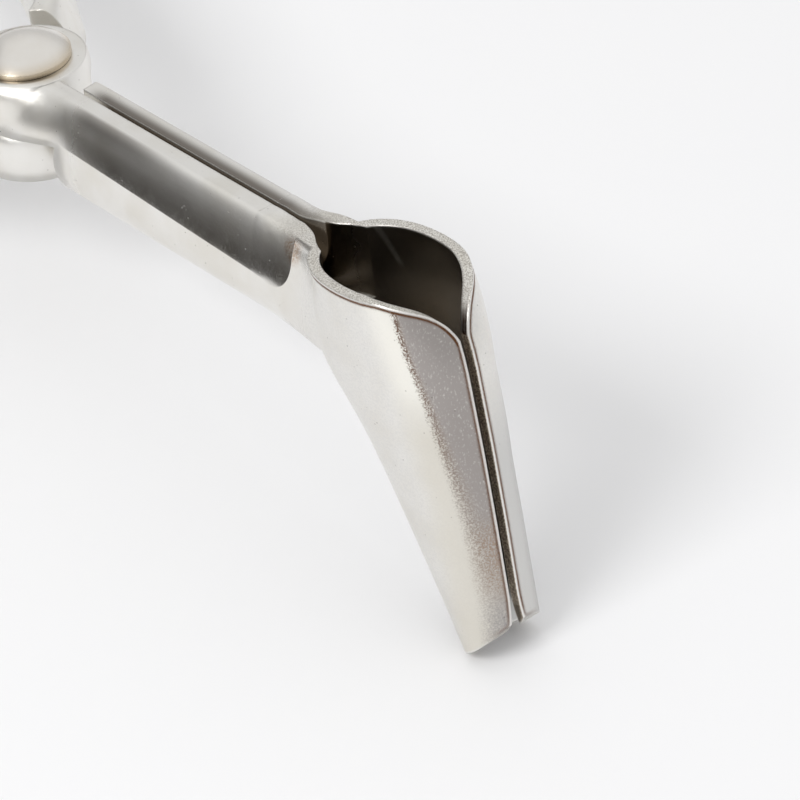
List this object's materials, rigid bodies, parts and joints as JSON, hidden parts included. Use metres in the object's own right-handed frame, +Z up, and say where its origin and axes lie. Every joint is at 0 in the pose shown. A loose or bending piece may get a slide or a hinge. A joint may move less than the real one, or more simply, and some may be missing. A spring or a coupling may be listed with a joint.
{
  "type": "bivalve speculum",
  "caption": "Hand-held bivalve speculum: two curved valves on pivoted, spring-handled levers spread apart when the handles are squeezed, to hold a passage open.",
  "frame": {"origin": "centre of the bounding box on the surface that the instrument stands on, under the middle of its length", "axes": "+X from the handles towards the valves, +Y from the near lever to the far one, +Z up, square to the surface that the valve tips and handle ends stand on"},
  "size_m": [0.1576, 0.058, 0.0321],
  "materials": {
    "near_lever": "polished, satin on the valves",
    "far_lever": "polished, satin on the valves",
    "pivot_screw": "polished",
    "leaf_spring": "finely ground",
    "spring_screw": "turned"
  },
  "bodies": {
    "near_side": {"near_lever": "near_lever", "pivot_screw": "pivot_screw", "near_spring_screw": "spring_screw"},
    "far_side": {"far_lever": "far_lever", "far_spring_screw": "spring_screw"},
    "near_spring": {"near_leaf_spring": "leaf_spring"},
    "far_spring": {"far_leaf_spring": "leaf_spring"}
  },
  "joints": [
    {"name": "pivot", "type": "hinge", "parent": "near_side", "child": "far_side", "pos_m": [0.01598, 0, 0.01922], "axis": [-0.1436, 0, 0.9896], "range_deg": [0, 26], "stiffness_Nm_per_rad": 0.6, "springref_deg": -8.59},
    {"name": "near_spring_bend", "type": "hinge", "parent": "near_side", "child": "near_spring", "pos_m": [-0.05516, -0.02302, 0.00808], "axis": [-0.1436, 0, 0.9896], "range_deg": [-3.2, 0]},
    {"name": "far_spring_bend", "type": "hinge", "parent": "far_side", "child": "far_spring", "pos_m": [-0.05516, 0.02302, 0.00808], "axis": [-0.1436, 0, 0.9896], "range_deg": [0, 3.2]}
  ],
  "couplings": [
    {"joint": "near_spring_bend", "follows": "pivot", "ratio": -0.12},
    {"joint": "far_spring_bend", "follows": "pivot", "ratio": 0.12}
  ]
}
